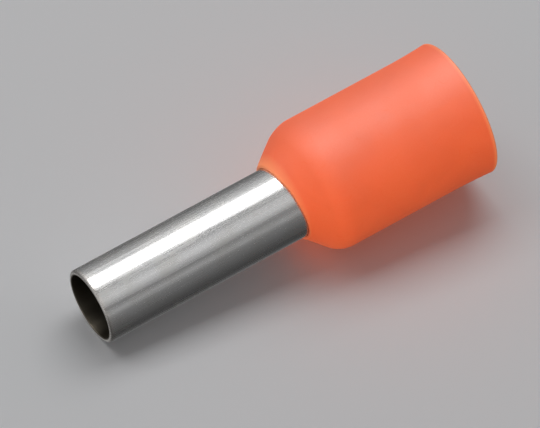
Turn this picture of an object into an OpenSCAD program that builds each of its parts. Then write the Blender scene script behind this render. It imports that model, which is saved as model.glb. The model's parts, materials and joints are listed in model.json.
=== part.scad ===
// Insulated wire ferrule: a thin plated metal tube whose flared end is seated in a moulded collar.
// It stands on the rim of the collar's mouth, with its axis on Z and the tip of the tube up.
// The tube goes in through the mouth, tip first, until its flare bears on the collar's inner cone.

/* [Tube] */
// Clear diameter inside the tube, where the bare strands go
tube_bore = 2.8; // [1.6:0.1:3.6]
// Thickness of the tube's wall
tube_wall = 0.2; // [0.1:0.05:0.3]
// Length of bare tube in front of the collar
exposed_len = 9; // [5:0.5:15]
// Radius that rounds the outer edge of the tip
tip_round = 0.12; // [0.04:0.02:0.16]
// Angle between the flare and the axis, which the collar's inner cone shares
flare_angle = 30; // [20:1:45]
// Gap between the edge of the flare and the collar's bore
flare_clearance = 0.35; // [0.2:0.05:0.6]

/* [Collar] */
// Length of the whole collar, from its mouth to its front edge
collar_len = 8.3; // [6:0.1:12]
// Clear diameter inside the collar, where the wire's insulation goes
collar_bore = 4.9; // [4.5:0.1:7]
// Thickness of the wall of the barrel
collar_wall = 0.37; // [0.25:0.01:0.8]
// Length of the neck that grips the tube
neck_len = 0.9; // [0.4:0.1:2]
// Thickness of the front edge where it lies on the tube
front_edge = 0.12; // [0.04:0.02:0.2]
// Angle between the shoulder and the axis
shoulder_angle = 41; // [30:1:55]
// Radius that blends the shoulder into the barrel
shoulder_round = 1.25; // [0.4:0.05:1.5]

/* [Mouth] */
// How far the rim stands out from the barrel
rim_spread = 0.07; // [0.04:0.01:0.2]
// Length over which the barrel curves out to the rim
rim_len = 1.7; // [0.3:0.1:2.5]
// Radius that rounds the outer edge of the rim
rim_round = 0.08; // [0.04:0.02:0.16]
// Width of the chamfer that leads the wire into the mouth
lead_in = 0.15; // [0.05:0.05:0.2]

/* [Fit] */
// Gap all round between the tube and the collar's neck and inner cone
seat_gap = 0.01; // [0:0.005:0.02]

/* [Hidden] */
$fn = 96;
// Length by which a cutting shape overshoots the face that it cuts
overshoot = 0.5;

// Radii of the tube, and of the flare at its open edge
bore_r = tube_bore / 2;
tube_r = bore_r + tube_wall;
flare_r = collar_bore / 2 - flare_clearance;

// Radii of the collar, from its front edge to its mouth
neck_r = tube_r + seat_gap;
front_r = neck_r + front_edge;
barrel_bore_r = collar_bore / 2;
barrel_r = barrel_bore_r + collar_wall;
rim_r = barrel_r + rim_spread;

// Heights above the plane of the mouth: the tip, and the two ends of the collar's inner cone
tip_z = collar_len + exposed_len;
cone_top_z = collar_len - neck_len;
cone_end_z = cone_top_z - (barrel_bore_r - neck_r) / tan(flare_angle);

// A surface nearer to the axis bends lower, by this share of the distance between the two
bend_shift = tan(flare_angle / 2);
flare_top_z = cone_top_z - seat_gap * bend_shift;
flare_bore_top_z = flare_top_z - tube_wall * bend_shift;
flare_end_z = flare_top_z - (flare_r - tube_r) / tan(flare_angle);
// Width of the flare's level edge
flare_edge = tube_wall / cos(flare_angle);

// Where the shoulder would meet the barrel, and how far its rounding reaches from there
shoulder_z = collar_len - (barrel_r - front_r) / tan(shoulder_angle);
round_reach = shoulder_round * tan(shoulder_angle / 2);

// The rim's hollow curve is an arc that leaves the barrel without a kink
rim_rise = rim_len - rim_round;
rim_arc_r = (rim_rise * rim_rise + rim_spread * rim_spread) / (2 * rim_spread);

// What a rounding of radius r takes off a square corner that points to +X +Y at the origin
module corner_waste(r) {
    translate([-r, -r]) difference() {
        square(r + overshoot);
        circle(r);
    }
}

// Half section of the tube: a straight drawn wall that opens into the flare at its lower end
module tube_section() {
    difference() {
        polygon([
            [bore_r, tip_z],
            [tube_r, tip_z],
            [tube_r, flare_top_z],
            [flare_r, flare_end_z],
            [flare_r - flare_edge, flare_end_z],
            [bore_r, flare_bore_top_z]
        ]);
        translate([tube_r, tip_z]) corner_waste(min(tip_round, 0.8 * tube_wall));
    }
}

// Outline of the collar: front edge, shoulder, barrel and rim, filled in to the axis
module collar_outline() {
    difference() {
        union() {
            polygon([
                [0, 0],
                [barrel_r, 0],
                [barrel_r, shoulder_z - round_reach],
                [
                    barrel_r - round_reach * sin(shoulder_angle),
                    shoulder_z + round_reach * cos(shoulder_angle)
                ],
                [front_r, collar_len],
                [0, collar_len]
            ]);
            intersection() {
                translate([barrel_r - shoulder_round, shoulder_z - round_reach])
                    circle(shoulder_round);
                square([barrel_r, collar_len]);
            }
            square([rim_r, rim_len]);
        }
        translate([barrel_r + rim_arc_r, rim_len]) circle(rim_arc_r);
        translate([rim_r, 0]) mirror([0, 1]) corner_waste(rim_round);
    }
}

// Inside of the collar: lead-in, bore, inner cone and the neck that grips the tube
module collar_hollow() {
    polygon([
        [0, -overshoot],
        [barrel_bore_r + lead_in + overshoot, -overshoot],
        [barrel_bore_r, lead_in],
        [barrel_bore_r, cone_end_z],
        [neck_r, cone_top_z],
        [neck_r, collar_len + overshoot],
        [0, collar_len + overshoot]
    ]);
}

module tube() {
    color([0.78, 0.79, 0.8]) rotate_extrude() tube_section();
}

module collar() {
    color([0.95, 0.45, 0.27]) rotate_extrude() difference() {
        collar_outline();
        collar_hollow();
    }
}

tube();
collar();
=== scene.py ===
import json
import math

import bmesh
import bpy
from mathutils import Matrix, Vector, noise


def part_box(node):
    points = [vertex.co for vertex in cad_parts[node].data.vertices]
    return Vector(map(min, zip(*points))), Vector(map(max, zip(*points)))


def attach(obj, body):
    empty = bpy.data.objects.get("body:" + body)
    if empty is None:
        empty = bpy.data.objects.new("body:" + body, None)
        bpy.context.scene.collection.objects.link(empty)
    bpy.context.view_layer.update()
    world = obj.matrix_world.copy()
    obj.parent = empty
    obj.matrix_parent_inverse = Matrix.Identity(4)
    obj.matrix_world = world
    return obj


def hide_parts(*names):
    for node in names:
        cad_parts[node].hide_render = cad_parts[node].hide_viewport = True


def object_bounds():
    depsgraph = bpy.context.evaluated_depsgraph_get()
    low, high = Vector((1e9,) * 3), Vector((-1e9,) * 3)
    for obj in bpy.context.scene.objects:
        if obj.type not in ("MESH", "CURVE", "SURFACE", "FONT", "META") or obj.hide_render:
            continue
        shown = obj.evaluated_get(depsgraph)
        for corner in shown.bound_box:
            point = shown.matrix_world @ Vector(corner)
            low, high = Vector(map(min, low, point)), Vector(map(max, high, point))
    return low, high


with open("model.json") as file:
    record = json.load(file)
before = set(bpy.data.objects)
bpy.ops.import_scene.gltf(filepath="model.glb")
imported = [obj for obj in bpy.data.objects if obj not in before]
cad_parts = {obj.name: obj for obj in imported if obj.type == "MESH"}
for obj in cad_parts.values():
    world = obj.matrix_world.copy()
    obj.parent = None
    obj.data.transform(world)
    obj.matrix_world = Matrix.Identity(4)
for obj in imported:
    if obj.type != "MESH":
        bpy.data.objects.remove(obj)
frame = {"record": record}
cad_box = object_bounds()


# --- Tube -----------------------------------------------------------------------------------
# A drawn copper sleeve with a thin tin plating. Its tip is sheared square and lightly tumbled,
# which rolls the outer edge, and its other end is opened into a flare that sits in the collar.

MM = 0.001
mounts = {mount["name"]: mount for mount in frame["record"]["mounts"]}
tube_low, tube_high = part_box("tube")
strand_bore_r = mounts["strand_bore"]["dims"]["r_mm"] * MM
tube_r = mounts["bare_tube"]["dims"]["r_mm"] * MM
tube_wall = tube_r - strand_bore_r
flare_r = tube_high.x
flare_angle = math.radians(30)
flare_top = tube_low.z + (flare_r - tube_r) / math.tan(flare_angle)
flare_bore_top = flare_top - tube_wall * math.tan(flare_angle / 2)
flare_edge = tube_wall / math.cos(flare_angle)
tip_round = 0.12 * MM
lathe_steps = 256
rounding_steps = 8


def lathe(name, corners, ring_gap):
    """Turns a closed section into a piece. A corner is its radius, its height and the
    length that its rounding takes from each side; ring_gap spaces the rings of faces."""
    bm = bmesh.new()
    verts = [bm.verts.new((radius, 0, height)) for radius, height, _ in corners]
    bm.faces.new(verts)
    for vert, (_, _, rounding) in zip(verts, corners):
        if rounding:
            bmesh.ops.bevel(
                bm, geom=[vert], affect="VERTICES", offset=rounding, offset_type="OFFSET",
                segments=rounding_steps, profile=0.5, material=-1,
            )
    bmesh.ops.delete(bm, geom=bm.faces[:], context="FACES_ONLY")
    for edge in bm.edges[:]:
        cuts = int(edge.calc_length() / ring_gap)
        if cuts:
            bmesh.ops.subdivide_edges(bm, edges=[edge], cuts=cuts)
    bmesh.ops.spin(
        bm, geom=bm.verts[:] + bm.edges[:], cent=(0, 0, 0), axis=(0, 0, 1), dvec=(0, 0, 0),
        angle=2 * math.pi, steps=lathe_steps, use_merge=True,
    )
    bmesh.ops.recalc_face_normals(bm, faces=bm.faces[:])
    mesh = bpy.data.meshes.new(name)
    bm.to_mesh(mesh)
    bm.free()
    mesh.shade_smooth()
    piece = bpy.data.objects.new(name, mesh)
    bpy.context.scene.collection.objects.link(piece)
    return piece


plated_tube = lathe(
    "plated_tube",
    [
        (strand_bore_r, tube_high.z, 0.04 * MM),
        (tube_r, tube_high.z, tip_round),
        (tube_r, flare_top, 0.1 * MM),
        (flare_r, tube_low.z, 0.03 * MM),
        (flare_r - flare_edge, tube_low.z, 0.05 * MM),
        (strand_bore_r, flare_bore_top, 0.1 * MM),
    ],
    ring_gap=0.2 * MM,
)


def node(tree, kind, inputs=None, **settings):
    """Adds a shader node. An input is a value, or the socket that feeds it."""
    made = tree.nodes.new("ShaderNode" + kind)
    for name, value in settings.items():
        setattr(made, name, value)
    for name, value in (inputs or {}).items():
        if isinstance(value, bpy.types.NodeSocket):
            tree.links.new(value, made.inputs[name])
        else:
            made.inputs[name].default_value = value
    return made


def ramp(tree, value, low, high, to_low=0.0, to_high=1.0):
    """Turns a value between low and high into one between to_low and to_high."""
    made = node(tree, "MapRange", {
        "Value": value, "From Min": low, "From Max": high, "To Min": to_low, "To Max": to_high,
    })
    return made.outputs["Result"]


def blend(tree, share, colour_a, colour_b):
    """Mixes two colours by a share that changes over the surface."""
    made = node(tree, "Mix", {"Factor": share}, data_type="RGBA")
    for socket, colour in ((made.inputs[6], colour_a), (made.inputs[7], colour_b)):
        if isinstance(colour, bpy.types.NodeSocket):
            tree.links.new(colour, socket)
        else:
            socket.default_value = (*colour, 1)
    return made.outputs[2]


def new_material(name):
    """Makes a material, and returns it with its node tree and the tree's main shader."""
    made = bpy.data.materials.new(name)
    made.use_nodes = True
    return made, made.node_tree, made.node_tree.nodes["Principled BSDF"]


# What loose storage in a bag of ferrules leaves on both pieces: hair scratches that cross each
# other at odd angles, and a thin film of handling grease. Lengths are in millimetres.
handling = bpy.data.node_groups.new("handling_marks", "ShaderNodeTree")
for socket, kind in (("Vector", "NodeSocketVector"), ("Scale", "NodeSocketFloat")):
    handling.interface.new_socket(socket, in_out="INPUT", socket_type=kind)
for socket in ("Scratches", "Film"):
    handling.interface.new_socket(socket, in_out="OUTPUT", socket_type="NodeSocketFloat")
group_in = handling.nodes.new("NodeGroupInput")
group_out = handling.nodes.new("NodeGroupOutput")
sized = node(handling, "VectorMath", {
    0: group_in.outputs["Vector"], "Scale": group_in.outputs["Scale"],
}, operation="SCALE")
drift = node(handling, "TexNoise", {"Vector": sized.outputs[0], "Scale": 0.9, "Detail": 2.0})
bent = node(handling, "VectorMath", {
    0: drift.outputs["Color"], 1: (0.9, 0.9, 0.9), 2: sized.outputs[0],
}, operation="MULTIPLY_ADD")
cracks = node(handling, "TexVoronoi", {"Vector": bent.outputs[0], "Scale": 0.8},
              feature="DISTANCE_TO_EDGE")
patches = node(handling, "TexNoise", {"Vector": sized.outputs[0], "Scale": 1.7, "Detail": 3.0})
line = ramp(handling, cracks.outputs["Distance"], 0.0, 0.02, 1.0, 0.0)
sparse = ramp(handling, patches.outputs["Fac"], 0.52, 0.62)
scratches = node(handling, "Math", {0: line, 1: sparse}, operation="MULTIPLY")
handling.links.new(scratches.outputs[0], group_out.inputs["Scratches"])
grease = node(handling, "TexNoise", {"Vector": bent.outputs[0], "Scale": 0.55, "Detail": 4.0})
handling.links.new(ramp(handling, grease.outputs["Fac"], 0.4, 0.68), group_out.inputs["Film"])

tin, tree, shader = new_material("tin_plating")
place = node(tree, "TexCoord").outputs["Object"]
in_mm = node(tree, "Mapping", {"Vector": place, "Scale": (1 / MM, 1 / MM, 1 / MM)}).outputs[0]
marks = node(tree, "Group", {"Vector": in_mm, "Scale": 1.6}, node_tree=handling)

# Drawing leaves streaks along the tube: fine die lines, and broad soft ones between them.
die_place = node(tree, "Mapping", {"Vector": in_mm, "Scale": (1, 1, 0.02)}).outputs[0]
die_lines = node(tree, "TexNoise", {"Vector": die_place, "Scale": 9.0, "Detail": 4.0})
soft_lines = node(tree, "TexNoise", {"Vector": die_place, "Scale": 2.2, "Detail": 1.0})
grain = node(tree, "TexNoise", {"Vector": in_mm, "Scale": 14.0, "Detail": 3.0})

spot = node(tree, "SeparateXYZ", {"Vector": in_mm})
across = node(tree, "CombineXYZ", {"X": spot.outputs["X"], "Y": spot.outputs["Y"]})
from_axis = node(tree, "VectorMath", {0: across.outputs[0]}, operation="LENGTH").outputs["Value"]
bore_side_mm = (strand_bore_r + 0.3 * tube_wall) / MM
inside = ramp(tree, from_axis, bore_side_mm + 0.02, bore_side_mm - 0.02)
tip_mm = tube_high.z / MM
tip_edge = ramp(tree, spot.outputs["Z"], tip_mm - 0.22, tip_mm - 0.06)

bright_tin = blend(tree, soft_lines.outputs["Fac"], (0.79, 0.785, 0.78), (0.85, 0.85, 0.855))
filmed = blend(tree, marks.outputs["Film"], bright_tin, (0.76, 0.75, 0.73))
# The last tenths of a millimetre of the tip are painted a warmer tone.
tin_warmer_at_tip = blend(tree, tip_edge, filmed, (0.8, 0.765, 0.73))
# Painted shade: the bore is painted dark brown, for the dark deep inside the tube.
tin_with_painted_bore_shade = blend(tree, inside, tin_warmer_at_tip, (0.16, 0.14, 0.11))
tree.links.new(tin_with_painted_bore_shade, shader.inputs["Base Color"])
shader.inputs["Metallic"].default_value = 1

streaked = ramp(tree, die_lines.outputs["Fac"], 0.3, 0.7, 0.18, 0.3)
smeared = node(tree, "Math", {0: marks.outputs["Film"], 1: 0.05, 2: streaked},
               operation="MULTIPLY_ADD").outputs[0]
scuffed = node(tree, "Math", {0: marks.outputs["Scratches"], 1: 0.06, 2: smeared},
               operation="MULTIPLY_ADD").outputs[0]
dulled = node(tree, "Math", {0: inside, 1: 0.15, 2: scuffed}, operation="MULTIPLY_ADD").outputs[0]
tree.links.new(dulled, shader.inputs["Roughness"])

broad = node(tree, "Bump", {
    "Height": soft_lines.outputs["Fac"], "Strength": 0.6, "Distance": 0.004 * MM,
})
fine = node(tree, "Bump", {
    "Height": die_lines.outputs["Fac"], "Strength": 0.7, "Distance": 0.0025 * MM,
    "Normal": broad.outputs[0],
})
pitted = node(tree, "Bump", {
    "Height": grain.outputs["Fac"], "Strength": 0.5, "Distance": 0.0016 * MM,
    "Normal": fine.outputs[0],
})
cut = node(tree, "Bump", {
    "Height": marks.outputs["Scratches"], "Strength": 0.25, "Distance": 0.0006 * MM,
    "Normal": pitted.outputs[0],
}, invert=True)
tree.links.new(cut.outputs[0], shader.inputs["Normal"])

plated_tube.data.materials.append(tin)
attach(plated_tube, "root")
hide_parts("tube")


# --- Collar ---------------------------------------------------------------------------------
# One injection-moulded plastic sleeve. Its thin front edge lies on the tube, its coned
# shoulder is rounded into the barrel, and the barrel spreads a little towards its mouth.

collar_low, collar_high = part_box("collar")
barrel_bore_r = mounts["insulation_bore"]["dims"]["r_mm"] * MM
collar_wall = 0.37 * MM
barrel_r = barrel_bore_r + collar_wall
rim_r = collar_high.x
seat_gap = 0.01 * MM
neck_r = tube_r + seat_gap
front_edge = 0.12 * MM
front_r = neck_r + front_edge
neck_len = 0.9 * MM
neck_end = collar_high.z - neck_len
shoulder_angle = math.radians(41)
shoulder_base = collar_high.z - (barrel_r - front_r) / math.tan(shoulder_angle)
shoulder_radius = 1.25 * MM
shoulder_round = shoulder_radius * math.tan(shoulder_angle / 2)
cone_end = neck_end - (barrel_bore_r - neck_r) / math.tan(flare_angle)
lead_in = 0.15 * MM
rim_len = 1.7 * MM
rim_round = 0.08 * MM

moulded_collar = lathe(
    "moulded_collar",
    [
        (barrel_bore_r + lead_in, collar_low.z, 0.03 * MM),
        (rim_r, collar_low.z, rim_round),
        (barrel_r, collar_low.z + (rim_len + rim_round) / 2, (rim_len - rim_round) / 2),
        (barrel_r, shoulder_base, shoulder_round),
        (front_r, collar_high.z, 0.04 * MM),
        (neck_r, collar_high.z, 0.02 * MM),
        (neck_r, neck_end, 0.1 * MM),
        (barrel_bore_r, cone_end, 0.2 * MM),
        (barrel_bore_r, collar_low.z + lead_in, 0.05 * MM),
    ],
    ring_gap=0.15 * MM,
)

# The front edge is drawn down on the tube while it is warm, so it runs out of square. The
# lean fades to nothing at the foot of the shoulder outside and at the neck's end inside.
front_lean = 0.2 * MM
front_wave = 0.03 * MM
wave_scale = 1.6
shoulder_foot = 6.8 * MM
skin = 0.05 * MM
for vert in moulded_collar.data.vertices:
    radius = math.hypot(vert.co.x, vert.co.y)
    funnel_r = neck_r + max(0, neck_end - vert.co.z) * math.tan(flare_angle)
    outside = radius > funnel_r + skin
    start = shoulder_foot if outside else neck_end
    share = min(max((vert.co.z - start) / (collar_high.z - start), 0), 1)
    eased = share * share * (3 - 2 * share)
    side = Vector((vert.co.x, vert.co.y, 0)) / radius
    wave = noise.noise(side * wave_scale)
    vert.co.z += eased * (front_lean * side.x + front_wave * wave)

plastic, tree, shader = new_material("orange_plastic")
place = node(tree, "TexCoord").outputs["Object"]
in_mm = node(tree, "Mapping", {"Vector": place, "Scale": (1 / MM, 1 / MM, 1 / MM)}).outputs[0]
marks = node(tree, "Group", {"Vector": in_mm, "Scale": 0.9}, node_tree=handling)

flow = node(tree, "TexNoise", {"Vector": in_mm, "Scale": 0.45, "Detail": 2.0, "Distortion": 0.6})
mould_grain = node(tree, "TexNoise", {"Vector": in_mm, "Scale": 16.0, "Detail": 3.0})
mottle = node(tree, "TexNoise", {"Vector": in_mm, "Scale": 1.3, "Detail": 2.0})

height = node(tree, "SeparateXYZ", {"Vector": in_mm}).outputs["Z"]
# Painted highlight: the mouth's rim and the thin front edge are painted a paler orange, for the
# light line that their rounded edges catch.
rim_highlight_band = ramp(tree, height, 0.2, 0.02)
front_mm = collar_high.z / MM
front_highlight_band = ramp(tree, height, front_mm - 0.25, front_mm + 0.15)
edge_highlight_band = node(tree, "Math", {0: rim_highlight_band, 1: front_highlight_band}, operation="MAXIMUM").outputs[0]

even = blend(tree, ramp(tree, flow.outputs["Fac"], 0.35, 0.65),
             (0.8, 0.1, 0.017), (0.85, 0.11, 0.02))
clouded = blend(tree, ramp(tree, mottle.outputs["Fac"], 0.45, 0.75, 0, 0.25),
                even, (0.84, 0.118, 0.03))
plastic_with_edge_highlight = blend(tree, edge_highlight_band, clouded, (0.93, 0.24, 0.08))
tree.links.new(plastic_with_edge_highlight, shader.inputs["Base Color"])

grained = ramp(tree, mould_grain.outputs["Fac"], 0.3, 0.7, 0.67, 0.74)
filmed = node(tree, "Math", {0: marks.outputs["Film"], 1: -0.06, 2: grained},
              operation="MULTIPLY_ADD").outputs[0]
scuffed = node(tree, "Math", {0: marks.outputs["Scratches"], 1: 0.1, 2: filmed},
               operation="MULTIPLY_ADD").outputs[0]
tree.links.new(scuffed, shader.inputs["Roughness"])

sink = node(tree, "Bump", {
    "Height": mottle.outputs["Fac"], "Strength": 0.5, "Distance": 0.01 * MM,
})
grainy = node(tree, "Bump", {
    "Height": mould_grain.outputs["Fac"], "Strength": 0.5, "Distance": 0.003 * MM,
    "Normal": sink.outputs[0],
})
cut = node(tree, "Bump", {
    "Height": marks.outputs["Scratches"], "Strength": 0.4, "Distance": 0.003 * MM,
    "Normal": grainy.outputs[0],
}, invert=True)
tree.links.new(cut.outputs[0], shader.inputs["Normal"])
shader.inputs["Subsurface Weight"].default_value = 0.15
shader.inputs["Subsurface Radius"].default_value = (1, 0.3, 0.1)
shader.inputs["Subsurface Scale"].default_value = 0.4 * MM
shader.inputs["Specular IOR Level"].default_value = 1.0
shader.inputs["IOR"].default_value = 1.7

moulded_collar.data.materials.append(plastic)
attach(moulded_collar, "root")
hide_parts("collar")


# --- Camera ---------------------------------------------------------------------------------
# A long lens that looks past the tip, with the axis of the ferrule slanting across the frame.

camera_elevation = math.radians(16.4)
axis_slant = math.radians(28.45)
lens_mm = 600
frame_width = 21.39 * MM
aim_right = -0.22 * MM
aim_up = -0.287 * MM

back = Vector((0, -math.cos(camera_elevation), math.sin(camera_elevation)))
level = back.to_track_quat("Z", "Y").to_matrix()
turn = level @ Matrix.Rotation(-(math.pi / 2 + axis_slant), 3, "Z")
camera_data = bpy.data.cameras.new("camera")
camera_data.lens = lens_mm
camera = bpy.data.objects.new("camera", camera_data)
bpy.context.scene.collection.objects.link(camera)
middle = (Vector(cad_box[0]) + Vector(cad_box[1])) / 2
aim = middle + turn @ Vector((aim_right, aim_up, 0))
distance = frame_width * lens_mm / camera_data.sensor_width
camera.matrix_world = Matrix.Translation(aim + back * distance) @ turn.to_4x4()
bpy.context.scene.camera = camera


# --- Floor ----------------------------------------------------------------------------------
# The ferrule lies on a pale sheet, on its tip and on the front of the barrel. The sheet is
# there for the camera alone, and only from above, so the ferrule also shows from below it.

floor_turn = math.radians(37)
barrel_front = shoulder_base - shoulder_round
floor_dip = math.atan((barrel_r - tube_r) / (tube_high.z - barrel_front))
floor_up = Vector((
    math.sin(floor_turn) * math.cos(floor_dip),
    -math.cos(floor_turn) * math.cos(floor_dip),
    -math.sin(floor_dip),
))
floor_level = min(
    floor_up.dot(vert.co)
    for piece in (plated_tube, moulded_collar)
    for vert in piece.data.vertices
)
floor_reach = 0.5
floor_tilt = floor_up.to_track_quat("Z", "X").to_matrix().to_4x4()
floor_place = Matrix.Translation(floor_up * floor_level) @ floor_tilt

bm = bmesh.new()
bmesh.ops.create_grid(bm, x_segments=4, y_segments=4, size=floor_reach)
bmesh.ops.transform(bm, verts=bm.verts[:], matrix=floor_place)
floor_mesh = bpy.data.meshes.new("floor")
bm.to_mesh(floor_mesh)
bm.free()
floor = bpy.data.objects.new("floor", floor_mesh)
bpy.context.scene.collection.objects.link(floor)
for ray in ("diffuse", "glossy", "transmission", "volume_scatter", "shadow"):
    setattr(floor, "visible_" + ray, False)

sheet, tree, shader = new_material("pale_sheet")
shader.inputs["Base Color"].default_value = (0.83, 0.835, 0.85, 1)
shader.inputs["Roughness"].default_value = 0.9
below = node(tree, "NewGeometry").outputs["Backfacing"]
clear = node(tree, "BsdfTransparent").outputs[0]
seen = node(tree, "MixShader", {0: below, 1: shader.outputs[0], 2: clear})
tree.links.new(seen.outputs[0], tree.nodes["Material Output"].inputs["Surface"])
floor_mesh.materials.append(sheet)


# --- Light tent -----------------------------------------------------------------------------
# A round glowing tent about the ferrule that only glossy surfaces see: a painted reflection of
# paler and darker panels for the metal to mirror, whose darkest panels, towards the sheet, stand
# in for the sheet in shade.
# A level is given at each angle about the ferrule, from the camera's side up over its top.

tent_r = 0.5
tent_len = 2.0
tent_panels = 96
tent_levels = [
    (-180, 0.35), (-165, 0.18), (-150, 0.09), (-128, 0.05), (-97, 0.09), (-70, 0.15),
    (-54, 0.18), (-48, 0.4), (-41, 0.4), (-35, 0.18), (-24, 0.2), (-14, 0.5), (0, 0.66),
    (14, 0.5), (24, 0.3), (36, 0.2), (60, 0.5), (92, 0.48), (110, 0.32),
    (126, 0.22), (146, 0.12), (160, 0.14), (180, 0.35),
]
bm = bmesh.new()
ring = bmesh.ops.create_circle(bm, cap_ends=False, radius=tent_r, segments=tent_panels)
rim_edges = bm.edges[:]
bmesh.ops.translate(bm, verts=ring["verts"], vec=(0, 0, -tent_len / 2))
wall = bmesh.ops.extrude_edge_only(bm, edges=rim_edges)
wall_verts = [part for part in wall["geom"] if isinstance(part, bmesh.types.BMVert)]
bmesh.ops.translate(bm, verts=wall_verts, vec=(0, 0, tent_len))
tent_mesh = bpy.data.meshes.new("tent")
bm.to_mesh(tent_mesh)
bm.free()
tent = bpy.data.objects.new("tent", tent_mesh)
bpy.context.scene.collection.objects.link(tent)
for ray in ("camera", "diffuse", "transmission", "volume_scatter", "shadow"):
    setattr(tent, "visible_" + ray, False)

reflection_panels, tree, _ = new_material("tent_reflection_panels")
reflection_panels.cycles.emission_sampling = "NONE"
place = node(tree, "TexCoord").outputs["Object"]
spot = node(tree, "SeparateXYZ", {"Vector": place})
toward = node(tree, "Math", {0: spot.outputs["Y"], 1: -1.0}, operation="MULTIPLY").outputs[0]
angle = node(tree, "Math", {0: spot.outputs["X"], 1: toward}, operation="ARCTAN2").outputs[0]
panels = node(tree, "ValToRGB", {"Fac": ramp(tree, angle, -math.pi, math.pi)})
stops = panels.color_ramp.elements
for stop, (degrees, level) in zip((stops[0], stops[1]), (tent_levels[0], tent_levels[-1])):
    stop.position = degrees / 360 + 0.5
    stop.color = (level, level, level, 1)
for degrees, level in tent_levels[1:-1]:
    stops.new(degrees / 360 + 0.5).color = (level, level, level, 1)
glow = node(tree, "Emission", {"Color": panels.outputs["Color"], "Strength": 1.0})
tree.links.new(glow.outputs[0], tree.nodes["Material Output"].inputs["Surface"])
tent_mesh.materials.append(reflection_panels)


# --- Lamps ----------------------------------------------------------------------------------
# Soft boxes about the ferrule, with their long sides along its axis. The one over it is made
# of two, a lamp that only shines as a mirrored light and one that only lights matt surfaces.
# The other three brighten the ferrule alone, so the sheet keeps the shadow of one light.


def soft_box(name, around, rise, reach, width, length, brightness,
             matt=True, mirrored=True, lit=None):
    """Hangs a lamp at an angle about the axis and a rise towards the tip, facing the ferrule.
    A brightness of 1 looks white. It lights matt surfaces, is mirrored by glossy ones, or
    both, and it lights all things, or only those in the collection lit."""
    around, rise = math.radians(around), math.radians(rise)
    outward = Vector((
        math.sin(around) * math.cos(rise), -math.cos(around) * math.cos(rise), math.sin(rise),
    ))
    lamp_data = bpy.data.lights.new(name, "AREA")
    lamp_data.shape = "RECTANGLE"
    lamp_data.size = width
    lamp_data.size_y = length
    lamp_data.energy = 4 * brightness * width * length
    lamp = bpy.data.objects.new(name, lamp_data)
    bpy.context.scene.collection.objects.link(lamp)
    across = Vector((0, 0, 1)).cross(outward).normalized()
    along = outward.cross(across)
    facing = Matrix((across, along, outward)).transposed().to_4x4()
    lamp.matrix_world = Matrix.Translation(middle + outward * reach) @ facing
    lamp.visible_camera = False
    lamp.visible_diffuse = matt
    lamp.visible_glossy = mirrored
    lamp.light_linking.receiver_collection = lit


ferrule = bpy.data.collections.new("ferrule")
ferrule.objects.link(plated_tube)
ferrule.objects.link(moulded_collar)
soft_box("over_lamp", 58, -12, reach=0.3, width=0.145, length=0.42, brightness=2.6, matt=False)
soft_box("key_lamp", 55, -12, reach=0.3, width=0.18, length=0.42, brightness=1.3, mirrored=False)
soft_box("front_lamp", -30, 30, reach=0.35, width=0.25, length=0.25, brightness=4.7,
         mirrored=False, lit=ferrule)
soft_box("top_lamp", 105, 0, reach=0.35, width=0.25, length=0.25, brightness=2.6,
         mirrored=False, lit=ferrule)
soft_box("back_lamp", 178, 12, reach=0.35, width=0.3, length=0.4, brightness=1.4,
         mirrored=False, lit=ferrule)


# --- Air ------------------------------------------------------------------------------------
# The room beyond the stage: as pale as the sheet where it is seen or mirrored, dimmer as light.

pale = 0.5
fill = 0.2
world = bpy.data.worlds.new("studio")
bpy.context.scene.world = world
world.use_nodes = True
tree = world.node_tree
rays = node(tree, "LightPath")
shown = node(tree, "Math", {0: rays.outputs["Is Camera Ray"], 1: rays.outputs["Is Glossy Ray"]},
             operation="MAXIMUM").outputs[0]
shown = node(tree, "Math", {0: shown, 1: rays.outputs["Is Transmission Ray"]},
             operation="MAXIMUM").outputs[0]
backdrop = tree.nodes["Background"]
backdrop.inputs["Color"].default_value = (1, 1, 1, 1)
tree.links.new(ramp(tree, shown, 0, 1, fill, pale), backdrop.inputs["Strength"])
bpy.context.scene.view_settings.view_transform = "Standard"
